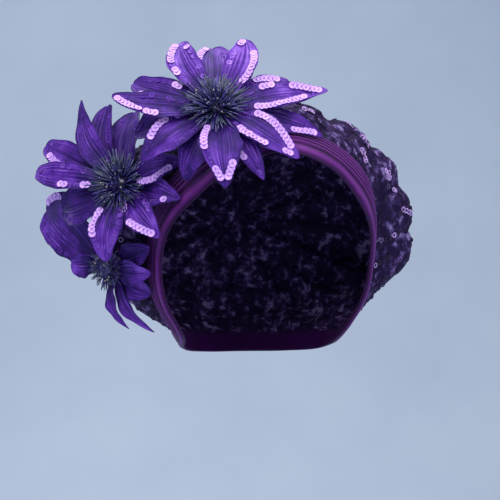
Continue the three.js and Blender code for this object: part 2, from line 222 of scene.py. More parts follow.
FACE_LOOP, SEAM_LOOP, GIRTH_LOOP = (station_loop(column) for column in range(3))
LOOP_SAMPLES = np.linspace(0, 1, 2001)
GIRTH_LENGTHS = run_lengths(GIRTH_LOOP(LOOP_SAMPLES % 1.0))


def loop_frames(turn):
    """Face edge, seam, girth, and the directions across and out of the band, at each turn."""
    swayed = (turn + TURN_SWAY * np.sin(math.pi * TURN_SWAY_COUNT * turn)) % 1.0
    place = np.interp(swayed * GIRTH_LENGTHS[-1], GIRTH_LENGTHS, LOOP_SAMPLES)
    face, seam, girth = (loop(place) for loop in (FACE_LOOP, SEAM_LOOP, GIRTH_LOOP))
    ahead = SEAM_LOOP(place + 1e-4) - SEAM_LOOP(place - 1e-4)
    across = unit(seam - face)
    out = unit(np.cross(across, ahead))
    inward = np.sum(out * (seam - CROWN_CENTRE), axis=1) < 0
    out[inward] *= -1
    return face, seam, girth, across, out


def noise_at(places, scale):
    """Smooth noise from -1 to 1 at places in millimetres, with lumps about scale wide."""
    return np.array([noise.noise(Vector(place)) for place in places / scale])


def shaped_grid(columns, rows, shape, weld=False):
    """A grid whose corners, in millimetres, and painted light are put by shape(first share, second
    share).
    """
    bm = bmesh.new()
    bm.loops.layers.uv.new("UVMap")
    bmesh.ops.create_grid(bm, x_segments=columns, y_segments=rows, size=0.5, calc_uvs=True)
    flat = np.array([vert.co[:2] for vert in bm.verts]) + 0.5
    places, folds = shape(np.clip(flat[:, 0], 0, 1), np.clip(flat[:, 1], 0, 1))
    # painted light per corner: painted highlight on crests, ridges and puffs, painted shade in
    # valleys, creases and at roots
    layer = bm.verts.layers.float.new("painted_light")
    for vert, place, painted_light in zip(bm.verts, places * MM, folds):
        vert.co = place
        vert[layer] = painted_light
    if weld:
        bmesh.ops.remove_doubles(bm, verts=bm.verts, dist=1e-6)
    return bm


def make_piece(name, mesh, material, node=None):
    """Link a mesh as a piece of the wrap, standing for a node where one is named."""
    mesh.materials.append(material)
    mesh.polygons.foreach_set("use_smooth", np.ones(len(mesh.polygons), dtype=bool))
    piece = bpy.data.objects.new(name, mesh)
    bpy.context.scene.collection.objects.link(piece)
    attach(piece, "root")
    if node:
        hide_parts(node)
    return piece


def mesh_of(bm, name):
    """Turn a finished bmesh into a mesh."""
    mesh = bpy.data.meshes.new(name)
    bm.normal_update()
    bm.to_mesh(mesh)
    bm.free()
    return mesh


def thicken(piece, thickness, offset=-1.0):
    """Give a sheet its thickness."""
    wall = piece.modifiers.new("cloth thickness", "SOLIDIFY")
    wall.thickness = thickness
    wall.offset = offset
    return piece


def face_outwards(bm, centre):
    """Turn a sheet's faces over if most of them look towards the centre."""
    bm.normal_update()
    middle = Vector(centre) * MM
    away = sum(face.normal.dot(face.calc_center_median() - middle) for face in bm.faces)
    if away < 0:
        bmesh.ops.reverse_faces(bm, faces=bm.faces)


def joined_copies(name, template, frames, tones, rim=None):
    """One mesh holding a copy of the template at each frame, with a tone for each copy.

    The rim gives a change of tone for each corner of the template: painted light and shade on each
    copy.
    """
    shape = np.array([vert.co for vert in template.verts])
    faces = [[vert.index for vert in face.verts] for face in template.faces]
    template.free()
    frames = np.array(frames)
    places = np.einsum("mij,nj->mni", frames[:, :3, :3], shape) + frames[:, None, :3, 3]
    count = len(shape)
    loops = [
        [corner + copy * count for corner in face] for copy in range(len(frames)) for face in faces
    ]
    mesh = bpy.data.meshes.new(name)
    mesh.from_pydata(places.reshape(-1, 3), [], loops)
    values = np.repeat(np.array(tones, dtype=float), count)
    if rim is not None:
        values = values + np.tile(rim(shape), len(frames)) * np.clip(4 * values, 0, 1)
    tone = mesh.attributes.new("tone", "FLOAT", "POINT")
    tone.data.foreach_set("value", np.clip(values, 0, 1).astype(np.float32))
    return mesh


def frame_matrix(along, normal, place, size=1.0):
    """A frame with X along, Z near the normal, at a place in millimetres."""
    x = unit(along)
    y = unit(np.cross(normal, x))
    z = np.cross(x, y)
    made = np.eye(4)
    made[:3, :3] = np.stack([x, y, z], axis=1) * size
    made[:3, 3] = place * MM
    return made


def turned(vector, axis, degrees):
    """The vector turned about an axis."""
    return np.array(Matrix.Rotation(math.radians(degrees), 3, Vector(axis)) @ Vector(vector))


def sequin_shape(radius, hole, cup, thickness, sides):
    """A small cupped disc with a hole, spun from its section."""
    bm = bmesh.new()
    lip = SEQUIN_LIP * radius
    section = (
        (hole, -cup), (radius, 0.0), (radius, thickness),
        (lip, thickness - 0.2 * cup), (hole, thickness - cup),
    )
    verts = [bm.verts.new((x, 0.0, z)) for x, z in section]
    edges = [bm.edges.new((verts[i], verts[i - 1])) for i in range(len(verts))]
    bmesh.ops.spin(
        bm, geom=verts + edges, cent=(0, 0, 0), axis=(0, 0, 1),
        angle=math.tau, steps=sides, use_merge=True, use_duplicate=False,
    )
    bmesh.ops.remove_doubles(bm, verts=bm.verts, dist=1e-7)
    bmesh.ops.recalc_face_normals(bm, faces=bm.faces)
    bm.verts.index_update()
    return bm


def sequin_painted_crescent(radius):
    """Tone over a sequin: a painted shadow crescent on the edge that laps over its neighbour."""
    def change(shape):
        reach = np.linalg.norm(shape[:, :2], axis=1)
        # painted shadow on one side, lighter painted shade round the rest of the edge
        edge = np.where(shape[:, 0] < -0.1 * radius, -0.75, -0.25)
        return np.where(reach > 0.95 * radius, edge, 0.0)

    return change


def ring_painted_glint(radius):
    """Change of tone over a flat sequin: a painted highlight on its edge, painted shade on its
    face.
    """
    def change(shape):
        reach = np.linalg.norm(shape[:, :2], axis=1)
        return np.where(reach > 0.8 * radius, 0.35, -0.2)

    return change


class Finish:
    """A material with its shader, and short ways to add and join nodes."""

    def __init__(self, name):
        self.material = bpy.data.materials.new(name)
        self.material.use_nodes = True
        self.tree = self.material.node_tree
        self.shader = self.tree.nodes["Principled BSDF"]

    def add(self, kind, values=None, **settings):
        node = self.tree.nodes.new(kind)
        for key, value in settings.items():
            setattr(node, key, value)
        for key, value in (values or {}).items():
            if isinstance(value, bpy.types.NodeSocket):
                self.tree.links.new(value, node.inputs[key])
            else:
                node.inputs[key].default_value = value
        return node

    def set(self, **values):
        for key, value in values.items():
            socket = self.shader.inputs[key.replace("_", " ")]
            if isinstance(value, bpy.types.NodeSocket):
                self.tree.links.new(value, socket)
            else:
                socket.default_value = value

    def surface(self, scale):
        uv = self.add("ShaderNodeTexCoord").outputs["UV"]
        return self.add("ShaderNodeMapping", {"Vector": uv, "Scale": scale}).outputs["Vector"]

    def solid(self):
        return self.add("ShaderNodeTexCoord").outputs["Object"]

    def noise(self, vector, scale, detail=4.0, rough=0.55):
        values = {"Vector": vector, "Scale": scale, "Detail": detail, "Roughness": rough}
        return self.add("ShaderNodeTexNoise", values).outputs["Fac"]

    def attribute(self, name):
        return self.add("ShaderNodeAttribute", attribute_name=name).outputs["Fac"]

    def plus(self, first, second, clamp=False):
        node = self.add("ShaderNodeMath", {0: first, 1: second}, operation="ADD", use_clamp=clamp)
        return node.outputs["Value"]

    def times(self, first, second):
        node = self.add("ShaderNodeMath", {0: first, 1: second}, operation="MULTIPLY")
        return node.outputs["Value"]

    def spread(self, value, low, high, to_low=0.0, to_high=1.0):
        values = {
            "Value": value, "From Min": low, "From Max": high,
            "To Min": to_low, "To Max": to_high,
        }
        return self.add("ShaderNodeMapRange", values).outputs["Result"]

    def ramp(self, value, stops):
        node = self.add("ShaderNodeValToRGB", {"Fac": value})
        band = node.color_ramp
        while len(band.elements) < len(stops):
            band.elements.new(0.5)
        for element, (place, colour) in zip(band.elements, stops):
            element.position = place
            element.color = (*colour[:3], 1.0)
        return node.outputs["Color"]

    def bump(self, height, strength, distance):
        values = {"Height": height, "Strength": strength, "Distance": distance}
        return self.add("ShaderNodeBump", values).outputs["Normal"]


def satin_finish(colours):
    """Band satin: painted shade in the pleats, a painted highlight on their crests, with threads
    along the strip.
    """
    finish = Finish("band_satin")
    threads = finish.noise(finish.surface((30.0, 300.0, 1.0)), 1.0, 3.0)
    clouds = finish.noise(finish.solid(), 28.0, 3.0)
    tone = finish.plus(finish.attribute("painted_light"), finish.spread(threads, 0.3, 0.7, -0.14, 0.14))
    tone = finish.plus(tone, finish.spread(clouds, 0.35, 0.65, -0.08, 0.08), clamp=True)
    # ramp from painted shade in the valleys through the satin's own colour to a painted highlight
    # on the crests
    stops = ((0.0, colours.valley), (0.48, colours.satin), (1.0, colours.crest))
    weave = finish.noise(finish.surface((500.0, 900.0, 1.0)), 1.0, 2.0)
    finish.set(
        Base_Color=finish.ramp(tone, stops),
        Roughness=finish.spread(threads, 0.3, 0.7, 0.40, 0.55),
        Normal=finish.bump(finish.plus(threads, finish.times(weave, 0.4)), 0.25, 0.0003),
        Specular_IOR_Level=0.15, Sheen_Weight=0.03, Sheen_Roughness=0.35,
        Sheen_Tint=(0.75, 0.3, 0.8, 1.0), Anisotropic=0.4,
    )
    return finish.material


def lace_finish(colours):
    """Crown lace: dark net, mottled paler motifs, painted shade and sheen, knotted thread relief.
    """
    finish = Finish("crown_lace")
    solid = finish.solid()
    motifs = finish.noise(solid, 160.0, 5.0, 0.60)
    patches = finish.noise(solid, 48.0, 2.0)
    net = finish.add(
        "ShaderNodeTexVoronoi", {"Vector": solid, "Scale": 520.0}, feature="DISTANCE_TO_EDGE"
    ).outputs["Distance"]
    thread = finish.spread(net, 0.0, 0.12, 1.0, 0.0)
    # random patches of painted shade, with some painted sheen
    shade = finish.spread(patches, 0.35, 0.65, -0.34, 0.20)
    tone = finish.plus(finish.spread(motifs, 0.44, 0.66), shade)
    tone = finish.plus(tone, finish.times(thread, 0.08))
    # the crown's painted light: painted highlight on puffs and lumps, painted shade in creases
    tone = finish.plus(tone, finish.times(finish.attribute("painted_light"), 0.45), clamp=True)
    stops = (
        (0.0, colours.shadow), (0.40, colours.net),
        (0.75, colours.mauve_and_sheen), (1.0, colours.motif),
    )
    relief = finish.plus(finish.times(thread, 0.5), motifs)
    finish.set(
        Base_Color=finish.ramp(tone, stops),
        Roughness=finish.spread(motifs, 0.3, 0.7, 0.80, 0.55),
        Normal=finish.bump(relief, 0.7, 0.0012),
        Specular_IOR_Level=0.08,
    )
    return finish.material


def organza_finish(colours):
    """Petal organza: lengthwise pleat streaks, patches of painted sheen, painted shade at the
    root.
    """
    finish = Finish("petal_organza")
    streaks = finish.noise(finish.surface((46.0, 1.3, 1.0)), 1.0, 4.0, 0.6)
    clouds = finish.noise(finish.solid(), 60.0, 3.0)
    along = finish.add("ShaderNodeSeparateXYZ", {"Vector": finish.surface((1, 1, 1))}).outputs["Y"]
    tone = finish.plus(finish.spread(streaks, 0.3, 0.7, -0.30, 0.30), finish.attribute("painted_light"))
    # cloud patches of painted sheen and painted shade
    tone = finish.plus(tone, finish.spread(clouds, 0.35, 0.65, -0.27, 0.25))
    # painted shade towards the root
    tone = finish.plus(tone, finish.spread(along, 0.05, 0.62, -0.42, 0.02), clamp=True)
    stops = ((0.0, colours.deep), (0.45, colours.violet), (1.0, colours.painted_sheen))
    weave = finish.noise(finish.surface((420.0, 620.0, 1.0)), 1.0, 2.0)
    height = finish.plus(streaks, finish.times(weave, 0.25))
    finish.set(
        Base_Color=finish.ramp(tone, stops),
        Roughness=finish.spread(streaks, 0.3, 0.7, 0.58, 0.42),
        Normal=finish.bump(height, 0.5, 0.0005),
        Specular_IOR_Level=0.25, Sheen_Weight=0.06, Sheen_Roughness=0.35,
        Sheen_Tint=(0.6, 0.4, 1.0, 1.0),
    )
    return finish.material


def sequin_finish(name, stops):
    """Sequins: a glossy film whose tone, painted shade or a painted highlight, differs from disc
    to disc.
    """
    finish = Finish(name)
    smear = finish.noise(finish.solid(), 900.0, 2.0)
    held = finish.attribute("tone")
    tone = finish.plus(held, finish.spread(smear, 0.3, 0.7, -0.05, 0.05), clamp=True)
    finish.set(
        Base_Color=finish.ramp(tone, stops),
        Roughness=finish.spread(held, 0.2, 0.9, 0.85, 0.28),
        Specular_IOR_Level=0.35,
    )
    return finish.material


def stamen_finish(colours):
    """Stamens: near-black spikes tinted green and blue, with a few pearly bead tips."""
    finish = Finish("stamen_beads")
    grain = finish.noise(finish.solid(), 700.0, 3.0)
    speckle = finish.spread(grain, 0.3, 0.7, -0.05, 0.05)
    tone = finish.plus(finish.attribute("tone"), speckle, clamp=True)
    stops = (
        (0.0, colours.spike), (0.30, colours.spike_green), (0.55, colours.spike_blue),
        (0.75, colours.spike_tip), (1.0, colours.bead),
    )
    finish.set(
        Base_Color=finish.ramp(tone, stops),
        Roughness=finish.spread(grain, 0.3, 0.7, 0.25, 0.45),
        Normal=finish.bump(grain, 0.2, 0.0002),
        Coat_Weight=0.3, Coat_Roughness=0.2,
    )
    return finish.material


def base_finish(colours):
    """Flower bases: plain deep violet cloth with a fine weave."""
    finish = Finish("base_cloth")
    weave = finish.noise(finish.solid(), 1500.0, 2.0)
    clouds = finish.noise(finish.solid(), 120.0, 3.0)
    stops = ((0.3, colours.deep), (0.7, colours.violet))
    finish.set(
        Base_Color=finish.ramp(clouds, stops),
        Roughness=finish.spread(weave, 0.3, 0.7, 0.55, 0.75),
        Normal=finish.bump(weave, 0.4, 0.0003),
        Sheen_Weight=0.2, Sheen_Roughness=0.5,
    )
    return finish.material


def pleat_rise(share):
    """Rise of the band's pleats in millimetres, and the painted light on the satin at each place.
    """
    rise = np.zeros_like(share)
    tone = np.zeros_like(share)
    floor = PLEAT_FLOOR * np.clip(share / 0.10, 0, 1) * np.clip((1 - share) / 0.06, 0, 1)
    start = 0.0
    for part, height in PLEATS:
        local = np.clip((share - start) / part, 0.0, 1.0)
        inside = (share >= start) & (share <= start + part + 1e-9)
        up = np.sin(0.5 * math.pi * np.clip(local / PLEAT_CREST, 0, 1)) ** 0.7
        past = np.clip((local - PLEAT_CREST) / (1 - PLEAT_CREST), 0, 1)
        down = np.cos(0.5 * math.pi * past) ** 0.45
        hump = np.minimum(up, down)
        rise = np.where(inside, height * (floor + (1 - floor) * hump), rise)
        # the wide pleat: a painted sheen across its middle, painted shade at its ends
        if part > WIDE_PLEAT:
            glow = 0.26 + 0.44 * np.exp(-(((local - 0.38) / 0.28) ** 2))
            lit = np.clip(local / 0.10, 0, 1) * glow
            lit = lit * np.clip((1 - local) / 0.08, 0, 1)
        else:
            # narrow pleats: a painted highlight line near the crest, painted shade in the valley
            glow = 0.85 * np.exp(-(((local - 0.66) / 0.10) ** 2))
            lit = 0.28 * np.clip(local / 0.30, 0, 1) + glow
            lit = lit * np.clip((1 - local) / 0.20, 0, 1)
        tone = np.where(inside, lit, tone)
        start += part
    return rise, tone


BAND_INSIDE = 0.34
BAND_ROLL = 0.42


def band_shape(turn, across_share):
    """Corners of the folded satin strip: inside face, rolled face edge, then the pleats."""
    face, seam, _, across, out = loop_frames(turn)
    width = np.linalg.norm(seam - face, axis=1)
    sway = 0.03 * np.sin(2 * math.pi * (3 * turn + 0.2))
    sway += 0.02 * np.sin(2 * math.pi * (7 * turn + 0.55))
    outside = np.clip((across_share - BAND_ROLL) / (1 - BAND_ROLL), 0, 1)
    share = np.clip(outside + sway * np.sin(math.pi * outside), 0, 1)
    rise, crest = pleat_rise(share)
    fullness = np.minimum(1.0, width / BAND_FULL_WIDTH)
    roll = np.clip((across_share - BAND_INSIDE) / (BAND_ROLL - BAND_INSIDE), 0, 1) * math.pi
    inside = np.clip(across_share / BAND_INSIDE, 0, 1)
    rolled = across_share <= BAND_ROLL
    reach = np.where(rolled, width * (1 - inside) - 1.2 * np.sin(roll), width * outside)
    height = np.where(rolled, 0.3 + 0.85 * (1 - np.cos(roll)), BAND_WALL + rise * fullness)
    places = face + across * reach[:, None] + out * height[:, None]
    ripple = noise_at(places, 9.0) * 0.25 * np.sin(math.pi * outside)
    # the pleats carry their painted light; the rolled face edge and inside face take the darkest
    # tone
    return places + out * ripple[:, None], np.where(rolled, 0.0, crest)


CROWN_LOBES = 16
CROWN_TUCK = 0.02
SEAM_GATHERS = 96
POLE_GATHERS = 64

# Relief of the crown in millimetres, from its lumps down to its finest wrinkles
CROWN_LUMP, CROWN_PUCKER, CROWN_WRINKLE, CROWN_CREASE = 2.6, 1.1, 0.3, 1.2
SEQUIN_ROWS_PER_LOBE = 3

# Crown rows painted as glints: turn and along where a row starts and ends, its number of sequins
CROWN_GLINTS = (
    (0.108, 0.165, 0.132, 0.110, 6),
    (0.154, 0.180, 0.162, 0.210, 3),
    (0.160, 0.170, 0.169, 0.200, 3),
    (0.186, 0.235, 0.190, 0.250, 2),
    (0.211, 0.210, 0.226, 0.290, 4),
    (0.026, 0.215, 0.042, 0.270, 5),
    (0.078, 0.360, 0.088, 0.250, 3),
    (0.100, 0.250, 0.118, 0.230, 4),
)


def crown_shape(turn, along):
    """Corners of the gathered crown, from the tuck under the band to the gathered pole."""
    tuck = np.clip(along / CROWN_TUCK, 0, 1)
    share = np.clip((along - CROWN_TUCK) / (1 - CROWN_TUCK), 0, 1)
    _, seam, girth, across, out = loop_frames(turn)
    start = seam + across * SEAM_GAP + out * CROWN_WALL
    back = CROWN_POLE + (girth - CROWN_POLE) * CROWN_BACK_SPREAD
    back[:, 1] = CROWN_POLE[1] + (girth[:, 1] - CROWN_POLE[1]) * CROWN_BACK_DROP
    pole = np.broadcast_to(CROWN_POLE, start.shape)
    knots = np.stack([2 * start - girth, start, girth, back, pole, 2 * pole - back])
    gaps = np.sqrt(np.linalg.norm(np.diff(knots, axis=0), axis=2))
    span = np.minimum((share * 3).astype(int), 2)
    rows = np.arange(len(share))
    corners = [knots[span + step, rows] for step in range(4)]
    lengths = [gaps[span + step, rows][:, None] for step in range(3)]
    places = span_point(corners, lengths, share * 3 - span)
    away = unit(places - CROWN_CENTRE)
    lobe = np.floor(turn * CROWN_LOBES)
    phase = turn * CROWN_LOBES - lobe
    puff = 2 * (1 + 0.3 * np.sin(16 * (lobe % CROWN_LOBES))) * np.sin(math.pi * phase) - 1
    lift = bpy.context.scene.head_wrap.lobe_depth / MM / 2 * np.sin(math.pi * share) * puff
    swell = np.sin(math.pi * np.clip(share, 0, 1)) ** 0.5
    lumps = noise_at(places, 13.0)
    puckers = noise_at(places, 6.0)
    creases = np.abs(noise_at(places + 40.0, 9.0))
    relief = CROWN_LUMP * lumps + CROWN_PUCKER * puckers + CROWN_WRINKLE * noise_at(places, 3.0)
    lift += swell * (relief - CROWN_CREASE * np.exp(-creases / 0.06))
    gathers = np.sin(2 * math.pi * SEAM_GATHERS * turn) * np.exp(-share / 0.10) * tuck
    at_pole = np.sin(2 * math.pi * POLE_GATHERS * turn) * np.exp(-(1 - share) / 0.08)
    gathers += at_pole * np.clip((1 - share) / 0.04, 0, 1)
    lift += 0.8 * gathers
    places = places + away * lift[:, None]
    places = places - (across * 2.6 + out * 0.9) * (1 - tuck)[:, None]
    # painted light on the lace: painted highlight on puffs, lumps and puckers, painted shade in
    # creases and next to the band
    painted_light = 0.25 * puff + 0.7 * lumps + 0.8 * puckers - 0.5 * np.exp(-creases / 0.08)
    edge = np.exp(-share / 0.05)
    return places, np.clip(0.7 * painted_light - 0.7 * edge, -1, 1)


def petal_width(along, tip):
    """Width share along a petal: pointed petals are fullest nearer to the root."""
    belly = PETAL_BELLY[0] + PETAL_BELLY[1] * tip
    swell = np.sin(0.5 * math.pi * np.clip(along / belly, 0, 1))
    swell = PETAL_BASE_SHARE + (1 - PETAL_BASE_SHARE) * swell
    fall = np.clip((along - belly) / (1 - belly), 0, 1)
    taper = tip + (1 - tip) * (1 - fall ** (PETAL_FALL[0] + PETAL_FALL[1] * tip))
    end = np.clip((along - 0.93) / 0.07, 0, 1)
    return np.where(along < belly, swell, taper) * np.sqrt(1 - 0.95 * end**2)


def flower_matrix(flower):
    """Placing of a flower: Z is the way it faces, X to the right and Y up."""
    hub, turn, tilt, _ = FLOWERS[flower]
    turned_to = Matrix.Rotation(math.radians(turn), 4, "Z")
    tipped = Matrix.Rotation(math.radians(90 - tilt), 4, "X")
    return np.array(Matrix.Translation(Vector(hub)) @ (turned_to @ tipped))


def petal_spine(row, along):
    """Middle line of a petal with its side and normal directions, in the flower's frame."""
    angle, lift, length, _, _, bow, sway, level = row[:8]
    turn, rise = math.radians(angle), math.radians(lift)
    root = np.array((BUTTON_RADIUS + SEAM_GAP, (level - 1) * LEVEL_STEP))
    tip = np.array((length * math.cos(rise), length * math.sin(rise)))
    belly = (root + tip) / 2 + 2 * bow * np.array((-math.sin(rise), math.cos(rise)))
    s = along[:, None]
    flat = (1 - s) ** 2 * root + 2 * s * (1 - s) * belly + s**2 * tip
    slope = 2 * (1 - s) * (belly - root) + 2 * s * (tip - belly)
    radial = np.array((math.cos(turn), math.sin(turn), 0.0))
    side = np.array((-math.sin(turn), math.cos(turn), 0.0))
    axis = np.array((0.0, 0.0, 1.0))
    centre = flat[:, :1] * radial + flat[:, 1:] * axis + 4 * sway * s * (1 - s) * side
    tangent = unit(slope[:, :1] * radial + slope[:, 1:] * axis)
    return centre, side, np.cross(tangent, side)


def petal_surface(row, seed):
    """The function that places a petal's cloth, from its two shares, in the flower's frame."""
    width, tip, shade = row[3], row[4], row[8]
    chance = np.random.default_rng(seed)
    pleats = chance.uniform(4.2, 5.6) * np.clip(width / 24, 0.45, 1.3)
    phases = chance.uniform(0, math.tau, 7)
    curl = chance.uniform(-1.5, 2.5)

    def at(across, along, pleated=1.0):
        centre, side, normal = petal_spine(row, along)
        share = 2 * across - 1
        inside = np.sin(math.pi * np.clip(0.10 + 0.86 * along, 0, 1))
        nibble = np.sin(3.1 * math.pi * along + phases[0] + 1.7 * np.sign(share))
        nibble += 0.6 * np.sin(8.3 * math.pi * along + phases[1] - 1.1 * np.sign(share))
        breadth = width * petal_width(along, tip) * (1 + pleated * 0.045 * nibble * np.abs(share))
        fan = share + 0.13 * np.sin(2.4 * share + phases[2])
        fan = fan + 0.05 * np.sin(3.6 * along + phases[3])
        wave = np.abs(np.sin(math.pi * pleats * fan + phases[4]))
        ridge = 1 - 2 * wave**0.7
        strength = 0.6 + 0.4 * np.sin(5 * share + 7 * along + phases[5])
        crease = np.exp(-((share / 0.11) ** 2))
        roll = np.exp(-(((1 - np.abs(share)) / 0.06) ** 2))
        ruffle = share**2 * np.sin(5.2 * math.pi * along + 2 * share + phases[6]) * inside
        pleat = 0.55 * strength * ridge * inside - 0.8 * crease * inside + 0.4 * roll
        lift = PETAL_CUP * breadth * share**2 * along + pleated * pleat + 0.8 * ruffle
        lift += curl * np.clip((along - 0.72) / 0.28, 0, 1) ** 2
        places = centre + side * (share * breadth / 2)[:, None] + normal * lift[:, None]
        # painted highlight on pleat ridges and ruffles, painted shade in the middle crease and on
        # the rolled margins, plus the petal's painted shade
        tone = 0.42 + 0.36 * ridge * strength - 0.20 * crease - 0.30 * roll + 0.16 * ruffle
        return places, shade + tone

    return at


def to_world(matrix, places):
    """Places in a flower's frame, in the wrap's frame."""
    return places @ matrix[:3, :3].T + matrix[:3, 3]


def petal_seed(flower, number):
    """A fixed seed for each petal."""
    return 100 * list(FLOWERS).index(flower) + number


class WrapSettings(bpy.types.PropertyGroup):
    """Sizes of the head wrap's cloth and trimmings."""

    band_thickness: bpy.props.FloatProperty(
        name="Band cloth", description="Thickness of the satin strip",
        default=0.0005, min=0.0002, max=0.001, unit="LENGTH",
    )
    crown_thickness: bpy.props.FloatProperty(
        name="Crown cloth", description="Thickness of the lace and its net backing",
        default=0.0009, min=0.0003, max=0.002, unit="LENGTH",
    )
    petal_thickness: bpy.props.FloatProperty(
        name="Petal cloth", description="Thickness of the doubled organza",
        default=0.0005, min=0.0002, max=0.0012, unit="LENGTH",
    )
    lobe_depth: bpy.props.FloatProperty(
        name="Gather depth", description="Depth of the crown's gathered lobes",
        default=0.007, min=0.0, max=0.012, unit="LENGTH",
    )
    petal_sequin: bpy.props.FloatProperty(
        name="Petal sequin", description="Diameter of the sequins along the petals",
        default=0.0058, min=0.003, max=0.008, unit="LENGTH",
    )
    petal_sequin_pitch: bpy.props.FloatProperty(
        name="Petal sequin pitch", description="Distance from one petal sequin to the next",
        default=0.0031, min=0.002, max=0.008, unit="LENGTH",
    )
    crown_sequin: bpy.props.FloatProperty(
        name="Crown sequin", description="Diameter of the sequins on the lace",
        default=0.0044, min=0.002, max=0.007, unit="LENGTH",
    )
    crown_sequin_pitch: bpy.props.FloatProperty(
        name="Crown sequin pitch",
        description="Distance from one crown sequin to the next in its row",
        default=0.0050, min=0.003, max=0.010, unit="LENGTH",
    )
    stamen_count: bpy.props.IntProperty(
        name="Spikes", description="Number of fine spikes in each flower's middle",
        default=280, min=20, max=400,
    )


def colour(name, description, default):
    """A colour setting."""
    return bpy.props.FloatVectorProperty(
        name=name, description=description, default=default,
        size=3, min=0.0, max=1.0, subtype="COLOR",
    )


class WrapColours(bpy.types.PropertyGroup):
    """Colours of the head wrap's cloth and trimmings."""

    # satin valley is painted shade, satin crest a painted highlight, satin the cloth's own colour
    valley: colour("Satin valley", "Satin deep in the pleats", (0.018, 0.001, 0.036))
    satin: colour("Satin", "Satin on the flat of the folds", (0.084, 0.007, 0.130))
    crest: colour("Satin crest", "Satin on the crest of a pleat", (0.215, 0.050, 0.290))
    # lace shadow is painted shade in the crown's hollows; the gauze colour is paler gauze plus
    # painted sheen
    shadow: colour("Lace shadow", "Net in the hollows of the crown", (0.014, 0.006, 0.036))
    net: colour("Lace net", "Net backing of the crown", (0.036, 0.017, 0.082))
    mauve_and_sheen: colour("Lace gauze", "Gauze folds of the crown", (0.115, 0.066, 0.220))
    motif: colour("Lace motif", "Paler motifs of the crown lace", (0.240, 0.178, 0.390))
    # organza deep is mostly painted shade in creases and at the root, and the base cloth's darker
    # tone; the sheen colour is a painted sheen
    deep: colour("Organza deep", "Organza in the folds and at the root", (0.024, 0.003, 0.120))
    violet: colour("Organza", "Organza on the flat of a petal", (0.098, 0.016, 0.330))
    painted_sheen: colour("Organza sheen", "Organza on the pleat ridges", (0.330, 0.132, 0.710))
    # sequins in painted shade and sequins with a painted highlight
    sequin_painted_shade: colour("Sequin in shade", "Sequins turned from the light", (0.060, 0.012, 0.230))
    sequin_painted_glint: colour("Sequin lit", "Sequins that catch the light", (0.760, 0.440, 0.960))
    spike: colour("Spike", "Darkest stamen spikes", (0.024, 0.014, 0.130))
    spike_green: colour("Spike green", "Green stamen spikes", (0.012, 0.028, 0.048))
    spike_blue: colour("Spike blue", "Blue stamen spikes", (0.050, 0.036, 0.250))
    spike_tip: colour("Spike tip", "Teal stamen spikes", (0.085, 0.085, 0.220))
    bead: colour("Stamen bead", "Pearly beads among the spikes", (0.380, 0.310, 0.230))


class HEADWRAP_OT_band(bpy.types.Operator):
    """Fold the pleated satin band round the face opening"""

    bl_idname = "head_wrap.band"
    bl_label = "Make Band"

    def execute(self, context):
        sizes = context.scene.head_wrap
        bm = shaped_grid(*BAND_GRID, band_shape, weld=True)
        face_outwards(bm, CROWN_CENTRE)
        satin = satin_finish(context.scene.head_wrap_colours)
        mesh = mesh_of(bm, "band_cloth")
        piece = make_piece("band_cloth", mesh, satin, "band")
        thicken(piece, sizes.band_thickness)
        return {"FINISHED"}


class HEADWRAP_OT_crown(bpy.types.Operator):
    """Gather the lace crown from the band to its pole at the back"""

    bl_idname = "head_wrap.crown"
    bl_label = "Make Crown"

    def execute(self, context):
        sizes = context.scene.head_wrap
        bm = shaped_grid(*CROWN_GRID, crown_shape, weld=True)
        face_outwards(bm, CROWN_CENTRE)
        lace = lace_finish(context.scene.head_wrap_colours)
        mesh = mesh_of(bm, "crown_cloth")
        piece = make_piece("crown_cloth", mesh, lace, "crown")
        thicken(piece, sizes.crown_thickness)
        return {"FINISHED"}


